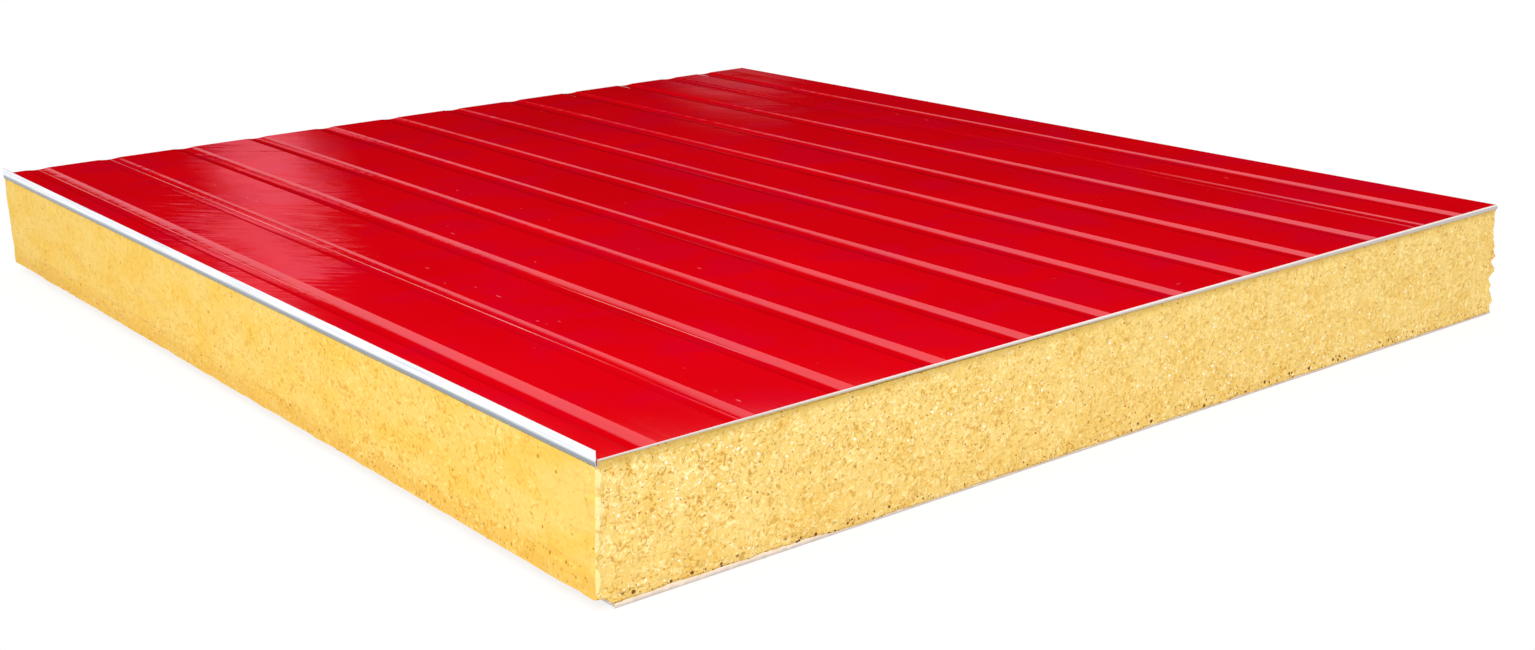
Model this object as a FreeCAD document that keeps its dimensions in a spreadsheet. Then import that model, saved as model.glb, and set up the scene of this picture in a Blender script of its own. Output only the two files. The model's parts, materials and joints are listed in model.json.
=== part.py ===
import FreeCAD, Part
import math
import os

import Sketcher

# A short length of insulated sandwich panel: a grooved outer steel sheet, a rigid foam core poured under
# it, and a flat inner steel sheet below. X runs across the panel, Y along its grooves, Z up through its
# thickness. The origin is in the middle of the panel's outline, level with the underside of the inner sheet.
#
# The sizes are in millimetres, and the one angle is in degrees. The panel's left side is the long edge with
# the standing hem, and its front is the end that the saw left out of square.

SIZES = [
    ("panel_length", 1080.0, "along the grooves"),
    ("panel_width", 950.0, "across the outer sheet, hem to rolled edge"),
    ("core_thickness", 100.0, "foam between the flats of the two sheets"),
    ("outer_gauge", 0.6, "thickness of the outer sheet"),
    ("inner_gauge", 0.5, "thickness of the inner sheet"),
    ("hem_height", 6.0, "standing leg of the hem above the outer sheet"),
    ("hem_depth", 4.6, "fold of the hem below the top of the outer sheet"),
    ("hem_gap", 0.8, "opening between the two legs of the hem"),
    ("hem_bend", 0.6, "inside radius where the sheet turns down into the hem"),
    ("edge_bend", 2.8, "inside radius of the rolled right edge"),
    ("edge_drop", 4.4, "rolled right edge, top to bottom"),
    ("flange_drop", 1.2, "turned-down front end at the hem; it deepens to edge_drop at the right"),
    ("groove_width", 22.0, "each groove, shoulder to shoulder"),
    ("groove_depth", 1.0, "each groove, from the flat to its bottom"),
    ("groove_slope", 8.1, "angle of each groove's flanks, which a wide round bottom joins"),
    ("hem_groove", 34.0, "first groove, from the hem's face"),
    ("field_groove", 108.0, "first groove of the even field, from the hem's face"),
    ("groove_pitch", 81.6, "from groove to groove in the even field"),
    ("field_margin", 40.0, "least distance from the field to the pair of grooves at the right"),
    ("last_groove", 65.5, "last groove, from the rolled edge"),
    ("pair_pitch", 56.0, "between the last two grooves"),
    ("foam_inset", 0.6, "foam's left side, back from the hem's face"),
    ("foam_seam", 0.3, "gap between the bottom of the hem's fold and the foam"),
    ("rebate_height", 8.8, "underside of the foam's left side above the inner sheet's underside"),
    ("rebate_run", 8.0, "level part of the rebate, from the hem's face"),
    ("rebate_slope", 7.0, "sloping part of the rebate, measured across the panel"),
    ("inner_lip", 4.0, "inner sheet's turned-up edge, measured across the panel"),
    ("side_lean", 6.0, "sawn right side: how far it leans out at the bottom"),
    ("lean_left", 8.0, "sawn front: how far its bottom lies back at the hem's side"),
    ("lean_right", 0.5, "sawn front: how far its bottom lies back at the right side"),
]

LEFT = "(-(Sizes.panel_width + Sizes.side_lean) / 2)"
RIGHT = "((Sizes.panel_width + Sizes.side_lean) / 2)"
EDGE = f"({RIGHT} - Sizes.side_lean)"
FRONT = "(-Sizes.panel_length / 2)"
CORE_BASE = "Sizes.inner_gauge"
CORE_TOP = "(Sizes.inner_gauge + Sizes.core_thickness)"
SHEET_TOP = f"({CORE_TOP} + Sizes.outer_gauge)"
CORE_LENGTH = "(Sizes.panel_length - Sizes.outer_gauge)"
GROOVE_BEND = (
    "((Sizes.groove_width / 2 * sin(Sizes.groove_slope) - Sizes.groove_depth * cos(Sizes.groove_slope))"
    " / (1 - cos(Sizes.groove_slope)))"
)
FIELD_COUNT = (
    "floor((Sizes.panel_width - Sizes.field_groove - Sizes.field_margin - Sizes.pair_pitch"
    " - Sizes.last_groove) / Sizes.groove_pitch) + 1"
)

doc = FreeCAD.newDocument("sandwich_panel")
sheet = doc.addObject("Spreadsheet::Sheet", "Sizes")
for row, (name, size, meaning) in enumerate(SIZES, start=1):
    sheet.set(f"A{row}", meaning)
    sheet.set(f"B{row}", str(size))
    sheet.setAlias(f"B{row}", name)
doc.recompute()


def value(expression):
    """What an expression in the sheet's sizes comes to now."""
    return float(sheet.evalExpression(expression))


def origin_feature(body, role):
    return next(feature for feature in body.Origin.OriginFeatures if feature.Role == role)


def new_body(name):
    body = doc.addObject("PartDesign::Body", name)
    body.Label = name
    body.Placement = FreeCAD.Placement()
    return body


def new_sketch(body, name, role="XZ_Plane", offset="0"):
    """A sketch on one of the body's own planes, moved along that plane's normal."""
    sketch = body.newObject("Sketcher::SketchObject", name)
    sketch.AttachmentSupport = [(origin_feature(body, role), "")]
    sketch.MapMode = "FlatFace"
    sketch.setExpression("AttachmentOffset.Base.z", offset)
    return sketch


def bind(sketch, kind, *parts, expression):
    """Add a size to a sketch and tie it to an expression."""
    index = sketch.addConstraint(Sketcher.Constraint(kind, *parts, value(expression)))
    sketch.setExpression(f"Constraints[{index}]", expression)


def pin(sketch, element, end, across, up):
    """Hold one end of a line or arc at a place given by two expressions."""
    bind(sketch, "DistanceX", -1, 1, element, end, expression=across)
    bind(sketch, "DistanceY", -1, 1, element, end, expression=up)


def draw_outline(sketch, corners):
    """A closed outline. A corner (across, up) leads on by a line, (across, up, centre, turn) by an arc."""
    points = [FreeCAD.Vector(value(corner[0]), value(corner[1]), 0) for corner in corners]
    ends = []
    for index, corner in enumerate(corners):
        start, end = points[index], points[(index + 1) % len(points)]
        begins = 1
        if len(corner) == 2:
            element = sketch.addGeometry(Part.LineSegment(start, end))
        else:
            centre, turn = corner[2:]
            begins = 1 if turn == "left" else 2
            element = add_arc(sketch, FreeCAD.Vector(value(centre[0]), value(centre[1]), 0), start, end, turn)
            bind(sketch, "DistanceY", -1, 1, element, 3, expression=centre[1])
        ends.append((element, begins, 3 - begins))
    for index, corner in enumerate(corners):
        element, begins, _ = ends[index]
        before, _, finishes = ends[index - 1]
        sketch.addConstraint(Sketcher.Constraint("Coincident", before, finishes, element, begins))
        pin(sketch, element, begins, corner[0], corner[1])


def add_arc(sketch, centre, start, end, turn):
    """An arc about a centre. Sketch arcs run anticlockwise, so one that turns right is drawn end first."""
    first, last = (start, end) if turn == "left" else (end, start)
    angles = [math.atan2(point.y - centre.y, point.x - centre.x) for point in (first, last)]
    circle = Part.Circle(centre, FreeCAD.Vector(0, 0, 1), (start - centre).Length)
    return sketch.addGeometry(Part.ArcOfCircle(circle, *angles))


def draw_groove(sketch, centre, level):
    """The wedge that one groove takes out below a level: two straight flanks and a rounded bottom."""
    middle, top = value(centre), value(level)
    half, depth, radius = value("Sizes.groove_width / 2"), value("Sizes.groove_depth"), value(GROOVE_BEND)
    slope = math.radians(value("Sizes.groove_slope"))
    foot = radius * math.sin(slope)
    foot_height = top - depth + radius * (1 - math.cos(slope))
    shoulders = [FreeCAD.Vector(middle + side * half, top, 0) for side in (-1, 1)]
    feet = [FreeCAD.Vector(middle + side * foot, foot_height, 0) for side in (-1, 1)]
    left_flank = sketch.addGeometry(Part.LineSegment(shoulders[0], feet[0]))
    bottom = add_arc(sketch, FreeCAD.Vector(middle, top - depth + radius, 0), feet[0], feet[1], "left")
    right_flank = sketch.addGeometry(Part.LineSegment(feet[1], shoulders[1]))
    lid = sketch.addGeometry(Part.LineSegment(shoulders[1], shoulders[0]))
    sketch.addConstraint(Sketcher.Constraint("Tangent", left_flank, 2, bottom, 1))
    sketch.addConstraint(Sketcher.Constraint("Tangent", bottom, 2, right_flank, 1))
    sketch.addConstraint(Sketcher.Constraint("Coincident", right_flank, 2, lid, 1))
    sketch.addConstraint(Sketcher.Constraint("Coincident", lid, 2, left_flank, 1))
    bind(sketch, "Radius", bottom, expression=GROOVE_BEND)
    pin(sketch, bottom, 3, centre, f"{level} - Sizes.groove_depth + {GROOVE_BEND}")
    pin(sketch, left_flank, 1, f"{centre} - Sizes.groove_width / 2", level)
    pin(sketch, right_flank, 2, f"{centre} + Sizes.groove_width / 2", level)


def extrude(body, kind, name, sketch, length):
    """A pad or pocket that runs from its sketch towards the back of the panel."""
    feature = body.newObject(f"PartDesign::{kind}", name)
    feature.Profile = sketch
    feature.setExpression("Length", length)
    feature.Reversed = kind == "Pad"
    return feature


def add_grooves(body, front, length, levels):
    """All the grooves. Each level is (Pad or Pocket, height): the sheet has both, the foam only the pocket."""
    field = []
    for kind, level in levels:
        edge_sketch = new_sketch(body, f"{body.Name}_edge_grooves_{kind.lower()}_section", offset=front)
        for centre in EDGE_GROOVES:
            draw_groove(edge_sketch, centre, level)
        extrude(body, kind, f"{body.Name}_edge_grooves_{kind.lower()}", edge_sketch, length)
        field_sketch = new_sketch(body, f"{body.Name}_field_groove_{kind.lower()}_section", offset=front)
        draw_groove(field_sketch, FIELD_GROOVE, level)
        field.append(extrude(body, kind, f"{body.Name}_field_groove_{kind.lower()}", field_sketch, length))
    pattern = body.newObject("PartDesign::LinearPattern", f"{body.Name}_field_grooves")
    pattern.Originals = field
    pattern.Direction = (origin_feature(body, "X_Axis"), [""])
    pattern.Mode = "Spacing"
    pattern.setExpression("Offset", "Sizes.groove_pitch")
    pattern.setExpression("Occurrences", FIELD_COUNT)
    body.Tip = pattern


# ---- outer facing ----
# One piece of coil, painted red above. Its left edge goes down and back up into a standing hem, its right
# edge is rolled down, and its front end is dressed down flat over the foam, which closes the grooves there.

HEM_INSIDE = f"({LEFT} + Sizes.outer_gauge)"
HEM_TURN = f"({HEM_INSIDE} + Sizes.hem_gap)"
HEM_BACK = f"({HEM_TURN} + Sizes.outer_gauge)"
FOLD_CENTRE = (f"{HEM_INSIDE} + Sizes.hem_gap / 2", f"{SHEET_TOP} - Sizes.hem_depth"
               " + Sizes.outer_gauge + Sizes.hem_gap / 2")
HEM_CENTRE = (f"{HEM_BACK} + Sizes.hem_bend", f"{CORE_TOP} - Sizes.hem_bend")
EDGE_INSIDE = f"({EDGE} - Sizes.outer_gauge)"
EDGE_CENTRE = (f"{EDGE_INSIDE} - Sizes.edge_bend", f"{CORE_TOP} - Sizes.edge_bend")
EDGE_FOOT = f"{SHEET_TOP} - Sizes.edge_drop"
HEM_HEAD = f"{SHEET_TOP} + Sizes.hem_height"
FIELD_GROOVE = f"({LEFT} + Sizes.field_groove)"
EDGE_GROOVES = [
    f"({LEFT} + Sizes.hem_groove)",
    f"({EDGE} - Sizes.last_groove - Sizes.pair_pitch)",
    f"({EDGE} - Sizes.last_groove)",
]


def make_outer_facing():
    body = new_body("outer_facing")
    section = new_sketch(body, "outer_facing_section", offset="Sizes.panel_length / 2")
    draw_outline(section, [
        (LEFT, HEM_HEAD),
        (LEFT, FOLD_CENTRE[1], FOLD_CENTRE, "left"),
        (HEM_BACK, FOLD_CENTRE[1]),
        (HEM_BACK, HEM_CENTRE[1], HEM_CENTRE, "right"),
        (HEM_CENTRE[0], CORE_TOP),
        (EDGE_CENTRE[0], CORE_TOP, EDGE_CENTRE, "right"),
        (EDGE_INSIDE, EDGE_CENTRE[1]),
        (EDGE_INSIDE, EDGE_FOOT),
        (EDGE, EDGE_FOOT),
        (EDGE, EDGE_CENTRE[1], EDGE_CENTRE, "left"),
        (EDGE_CENTRE[0], SHEET_TOP),
        (HEM_CENTRE[0], SHEET_TOP, HEM_CENTRE, "left"),
        (HEM_TURN, HEM_CENTRE[1]),
        (HEM_TURN, FOLD_CENTRE[1], FOLD_CENTRE, "right"),
        (HEM_INSIDE, FOLD_CENTRE[1]),
        (HEM_INSIDE, HEM_HEAD),
    ])
    extrude(body, "Pad", "outer_facing_sheet", section, "Sizes.panel_length")
    add_grooves(body, "Sizes.panel_length / 2", "Sizes.panel_length", [("Pad", CORE_TOP), ("Pocket", SHEET_TOP)])
    flange = new_sketch(body, "front_flange_outline", offset="Sizes.panel_length / 2")
    draw_outline(flange, [
        (HEM_CENTRE[0], SHEET_TOP),
        (HEM_CENTRE[0], f"{SHEET_TOP} - Sizes.flange_drop"),
        (EDGE, EDGE_FOOT),
        (EDGE, EDGE_CENTRE[1], EDGE_CENTRE, "left"),
        (EDGE_CENTRE[0], SHEET_TOP),
    ])
    extrude(body, "Pad", "front_flange", flange, "Sizes.outer_gauge")
    return body


# ---- foam core ----
# Foam rises between the sheets and sets there, so its top is the underside of the outer sheet. The left
# side keeps the shape of the mould, with a rebate along the bottom. The right side and the front are sawn.

FOAM_FRONT = f"({FRONT} + Sizes.outer_gauge)"
FOAM_START = "(Sizes.panel_length / 2 - Sizes.outer_gauge)"
FOAM_LEFT = f"{LEFT} + Sizes.foam_inset"
FOAM_SHOULDER = f"{SHEET_TOP} - Sizes.hem_depth - Sizes.foam_seam"
REBATE_CORNER = f"({LEFT} + Sizes.rebate_run)"
REBATE_FOOT = f"({REBATE_CORNER} + Sizes.rebate_slope)"


def cut_leaning_front(body):
    """The saw's face runs back towards the bottom, more at the hem's side than at the right side."""
    sections = []
    for name, across, lean in (("left", LEFT, "Sizes.lean_left"), ("right", RIGHT, "Sizes.lean_right")):
        sketch = new_sketch(body, f"saw_face_{name}", role="YZ_Plane", offset=across)
        draw_outline(sketch, [
            (FOAM_FRONT, CORE_TOP),
            (FRONT, CORE_TOP),
            (FRONT, CORE_BASE),
            (f"{FOAM_FRONT} + {lean}", CORE_BASE),
        ])
        sections.append(sketch)
    cut = body.newObject("PartDesign::SubtractiveLoft", "saw_face")
    cut.Profile = sections[0]
    cut.Sections = [sections[1]]
    cut.Ruled = True


def make_foam_core():
    body = new_body("foam_core")
    section = new_sketch(body, "foam_core_section", offset=FOAM_START)
    draw_outline(section, [
        (HEM_CENTRE[0], CORE_TOP, HEM_CENTRE, "left"),
        (HEM_BACK, HEM_CENTRE[1]),
        (HEM_BACK, FOAM_SHOULDER),
        (FOAM_LEFT, FOAM_SHOULDER),
        (FOAM_LEFT, "Sizes.rebate_height"),
        (REBATE_CORNER, "Sizes.rebate_height"),
        (REBATE_FOOT, CORE_BASE),
        (RIGHT, CORE_BASE),
        (EDGE_INSIDE, EDGE_FOOT),
        (EDGE_INSIDE, EDGE_CENTRE[1], EDGE_CENTRE, "left"),
        (EDGE_CENTRE[0], CORE_TOP),
    ])
    extrude(body, "Pad", "foam_core_block", section, CORE_LENGTH)
    add_grooves(body, FOAM_START, CORE_LENGTH, [("Pocket", CORE_TOP)])
    cut_leaning_front(body)
    return body


# ---- inner facing ----
# A flat painted sheet, bonded to the underside of the foam. Its left edge is turned up along the slope of
# the rebate, and its front end follows the saw.

REBATE_RISE = f"(Sizes.rebate_height - {CORE_BASE})"
REBATE_LENGTH = f"sqrt(Sizes.rebate_slope ^ 2 + {REBATE_RISE} ^ 2)"
LIP_ACROSS = f"{REBATE_FOOT} - Sizes.inner_lip"
LIP_UP = f"{CORE_BASE} + Sizes.inner_lip * {REBATE_RISE} / Sizes.rebate_slope"


def make_inner_facing():
    body = new_body("inner_facing")
    section = new_sketch(body, "inner_facing_section", offset=FOAM_START)
    draw_outline(section, [
        (LIP_ACROSS, LIP_UP),
        (f"{LIP_ACROSS} - Sizes.inner_gauge * {REBATE_RISE} / {REBATE_LENGTH}",
         f"{LIP_UP} - Sizes.inner_gauge * Sizes.rebate_slope / {REBATE_LENGTH}"),
        (f"{REBATE_FOOT} - Sizes.inner_gauge * ({REBATE_LENGTH} - Sizes.rebate_slope) / {REBATE_RISE}", "0"),
        (RIGHT, "0"),
        (RIGHT, CORE_BASE),
        (REBATE_FOOT, CORE_BASE),
    ])
    extrude(body, "Pad", "inner_facing_sheet", section, CORE_LENGTH)
    saw_line = new_sketch(body, "inner_facing_saw_line", role="XY_Plane")
    draw_outline(saw_line, [
        (LEFT, FRONT),
        (RIGHT, FRONT),
        (RIGHT, f"{FOAM_FRONT} + Sizes.lean_right"),
        (LEFT, f"{FOAM_FRONT} + Sizes.lean_left"),
    ])
    trim = body.newObject("PartDesign::Pocket", "inner_facing_saw_cut")
    trim.Profile = saw_line
    trim.Type = "ThroughAll"
    trim.SideType = "Symmetric"
    return body


def export_part(body):
    """Write one sub-part to its own file, which carries its name."""
    body.Shape.exportStep(os.path.join("parts", f"{body.Label}.step"))


sub_parts = [make_outer_facing(), make_foam_core(), make_inner_facing()]
doc.recompute()

for item in doc.Objects:
    if {"Invalid", "Error"} & set(item.State):
        raise RuntimeError(f"{item.Name} failed: {item.State}")
for body in sub_parts:
    if body.Shape.isNull() or not body.Shape.isValid() or len(body.Shape.Solids) != 1:
        raise RuntimeError(f"{body.Label} is not one valid solid")

os.makedirs("parts", exist_ok=True)
for body in sub_parts:
    export_part(body)
    box = body.Shape.BoundBox
    print(f"{body.Label}: {box.XLength:.1f} x {box.YLength:.1f} x {box.ZLength:.1f} mm,"
          f" {body.Shape.Volume / 1000:.1f} cm3")
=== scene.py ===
import json
import math

import bmesh
import bpy
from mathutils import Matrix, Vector


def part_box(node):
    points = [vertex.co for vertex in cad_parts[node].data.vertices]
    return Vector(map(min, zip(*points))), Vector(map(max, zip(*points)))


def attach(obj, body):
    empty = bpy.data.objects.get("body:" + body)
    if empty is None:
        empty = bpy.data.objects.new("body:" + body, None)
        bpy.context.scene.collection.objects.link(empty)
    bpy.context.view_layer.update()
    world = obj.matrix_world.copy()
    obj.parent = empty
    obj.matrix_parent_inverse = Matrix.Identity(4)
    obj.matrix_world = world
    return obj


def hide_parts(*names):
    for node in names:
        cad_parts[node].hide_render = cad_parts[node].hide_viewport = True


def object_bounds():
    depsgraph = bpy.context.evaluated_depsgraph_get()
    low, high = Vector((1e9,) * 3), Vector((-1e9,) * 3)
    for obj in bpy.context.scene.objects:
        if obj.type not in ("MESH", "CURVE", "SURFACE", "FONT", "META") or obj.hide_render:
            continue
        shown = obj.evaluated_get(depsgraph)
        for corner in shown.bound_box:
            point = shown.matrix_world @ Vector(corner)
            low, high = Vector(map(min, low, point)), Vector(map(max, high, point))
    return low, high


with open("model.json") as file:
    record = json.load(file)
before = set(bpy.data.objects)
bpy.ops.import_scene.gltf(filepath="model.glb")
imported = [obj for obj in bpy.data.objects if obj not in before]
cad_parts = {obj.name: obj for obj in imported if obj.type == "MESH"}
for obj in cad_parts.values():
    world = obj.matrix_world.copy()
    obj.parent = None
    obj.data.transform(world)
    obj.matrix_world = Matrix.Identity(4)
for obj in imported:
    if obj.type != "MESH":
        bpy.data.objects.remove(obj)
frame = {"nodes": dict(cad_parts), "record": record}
cad_low, cad_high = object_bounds()
nodes = frame["nodes"]
mounts = {mount["name"]: mount for mount in frame["record"]["mounts"]}

# ---------------------------------------------------------------------------------------------
# Camera. It stands off the near left corner of the panel and looks across it, a little rolled,
# as a hand-held one is.
# ---------------------------------------------------------------------------------------------
CAMERA_OFFSET = Vector((-0.5517, -0.8633, 0.3875))  # from the corner of the sheet's flat top
CAMERA_TURN = (73.207, 1.095, -38.595)  # degrees about X, Y and Z
CAMERA_LENS = 44.03  # mm, on a 36 mm wide sensor

facing_low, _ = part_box("outer_facing")
sheet_top = mounts["outer_face"]["pos_m"][2]
near_corner = Vector((facing_low.x, facing_low.y, sheet_top))

bpy.ops.object.camera_add(
    location=near_corner + CAMERA_OFFSET,
    rotation=[math.radians(turn) for turn in CAMERA_TURN],
)
camera = bpy.context.object
camera.name = "camera"
camera.data.lens = CAMERA_LENS
camera.data.sensor_width = 36.0
camera.data.clip_start = 0.01
bpy.context.scene.camera = camera


# ---------------------------------------------------------------------------------------------
# Outer facing. One roll-formed sheet of galvanised steel, coil coated before forming: gloss red
# polyester on the weather side, thin white backing coat on the reverse. The reverse shows on the
# outside of the hem, and the shear's bare cut shows along the front end.
# ---------------------------------------------------------------------------------------------
RED_TOPCOAT = "E0000F"
RED_DULLED = "D6000C"
RED_CRIMSON = "D6001E"
# Pale pink of the painted highlight line beside the grooves' bottoms.
HIGHLIGHT_LINE_PINK = "FFB0AA"
CUT_GRIME = "6E5E52"
SCRATCH_PINK = "F4788A"
BACKING_COAT = "EEF1F7"
BACKING_STREAK = "CDD4E0"
BACKING_FOLD_SHADE = "7F888E"
# The pale top of the shear's cut, then the grey of a painted shade below it.
ZINC_CUT = "F1E5DE"
ZINC_CUT_SHADE = "B9B0AB"
SHEET_GAUGE = 0.6  # mm
HEM_WIDTH = 2.0  # mm, over both legs and the gap
HEM_FOLD = 4.6  # mm from the sheet's top down to the bottom of the fold
STRIP_PITCH = 81.6  # mm between the grooves of the field
STRIP_START = 108.0  # mm from the hem to the first groove of the field
GROOVE_HALF = 11.0  # mm
SHALLOW_GROOVES = ((STRIP_START, 0.45), (828.5, 0.8))  # mm from the hem, mm less deep
HIGHLIGHT_LINE_WIDTH = 1.0  # mm across the painted highlight line in a groove
HIGHLIGHT_LINE_SPREAD = (1 / 60.0, 1 / 170.0, 0.0)  # per mm, the spread of the line's broken lengths
HIGHLIGHT_LINES = (  # mm from the hem, and where along the sheet the line begins, is full and ends
    (34.8, 330.0, 520.0, 1200.0),
    (109.2, 90.0, 260.0, 1200.0),
    (190.6, 60.0, 150.0, 360.0),
)
HIGHLIGHT_LINE_FADE = 80.0  # mm over which a line ends
SEAM_LINES = (127.0, 139.0, 214.0, 301.0, 866.0)  # mm from the hem to the shipping film's edges
SEAM_HALF = 0.7  # mm
SEAM_WANDER = 9.0  # mm
SEAM_GAP = 5.0  # mm between the dots
SCRATCH_GAP = 21.0  # mm
CROWN_HEIGHT = 0.12  # mm that a strip stands up between its grooves
STREAK_SIZE = (5.0, 260.0, 260.0)  # mm across and along a rolling streak
STREAK_HEIGHT = 0.018  # mm
DENT_SIZE = 170.0  # mm across a soft dent of the thin sheet
DENT_HEIGHT = 0.5  # mm
SPECK_GAP = 34.0  # mm between specks of dust under the coat
SPECK_HEIGHT = 0.08  # mm
TINT_SIZE = 90.0  # mm across a place where the coat is a little more crimson
BACKING_STREAK_SIZE = (1.0, 90.0, 0.8)  # mm across, along and up a streak of the backing coat
GRIME_GAP = 6.0  # mm between spots of grime on the front cut
RIPPLE_RUN = (0.6428, -0.7660, 0.0)  # the way that the coat's fine ripples run
RIPPLE_LENGTH = 80.0  # mm
RIPPLE_WIDTH = 5.5  # mm
RIPPLE_TURN = 0.12  # how far they turn the surface to the side


def linear(hex_colour):
    """An sRGB hex colour as the linear RGBA that Blender's sockets hold."""
    shares = [int(hex_colour[start:start + 2], 16) / 255 for start in (0, 2, 4)]
    return [s / 12.92 if s <= 0.04045 else ((s + 0.055) / 1.055) ** 2.4 for s in shares] + [1.0]


def add_node(tree, kind, settings=None, links=None, stops=None):
    """Adds a node, sets its properties and sockets, feeds its sockets and fills a ramp's stops."""
    node = tree.nodes.new("ShaderNode" + kind)
    for name, value in (settings or {}).items():
        if isinstance(name, str) and hasattr(node, name):
            setattr(node, name, value)
        else:
            node.inputs[name].default_value = value
    for name, source in (links or {}).items():
        output = source.outputs[0] if isinstance(source, bpy.types.Node) else source
        tree.links.new(output, node.inputs[name])
    for index, (position, colour) in enumerate(stops or []):
        elements = node.color_ramp.elements
        element = elements[index] if index < 2 else elements.new(position)
        element.position = position
        element.color = colour
    return node


def new_material(name):
    """A material with its tree emptied, ready for its own nodes."""
    material = bpy.data.materials.new(name)
    material.use_nodes = True
    material.node_tree.nodes.clear()
    return material


def in_millimetres(tree, corner):
    """The place on a piece in mm from a corner of it: as a vector, and its three parts."""
    place = add_node(tree, "TexCoord").outputs["Object"]
    off = add_node(tree, "VectorMath", {"operation": "SUBTRACT", 1: corner}, {0: place})
    in_mm = add_node(tree, "VectorMath", {"operation": "SCALE", "Scale": 1000.0}, {0: off})
    across, along, up = add_node(tree, "SeparateXYZ", {}, {0: in_mm}).outputs
    return in_mm, across, along, up


def layered(tree, base, layers):
    """A base colour with further colours over it, each where its mask says."""
    colour = base
    for mask, hex_colour in layers:
        settings = {"data_type": "RGBA", 7: linear(hex_colour)}
        colour = add_node(tree, "Mix", settings, {0: mask, 6: colour}).outputs[2]
    return colour


def spots(tree, place, gap, smallest, largest, shift):
    """A mask of round spots, one near each point of a scatter, each of its own size. The gap
    and the two radii are in mm, and a spot with a radius under 0 is left out."""
    moved = add_node(tree, "VectorMath", {"operation": "ADD", 1: shift}, {0: place})
    scatter = add_node(
        tree, "TexVoronoi", {"Scale": 1 / gap, "Randomness": 1.0}, {"Vector": moved}
    )
    size = add_node(
        tree,
        "MapRange",
        {"To Min": smallest / gap, "To Max": largest / gap, "clamp": False},
        {"Value": scatter.outputs["Color"]},
    )
    inside = add_node(
        tree, "Math", {"operation": "SUBTRACT"}, {0: size, 1: scatter.outputs["Distance"]}
    )
    return add_node(
        tree,
        "MapRange",
        {"From Min": -0.2 / gap, "From Max": 0.35 / gap, "interpolation_type": "SMOOTHSTEP"},
        {"Value": inside},
    )


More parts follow.
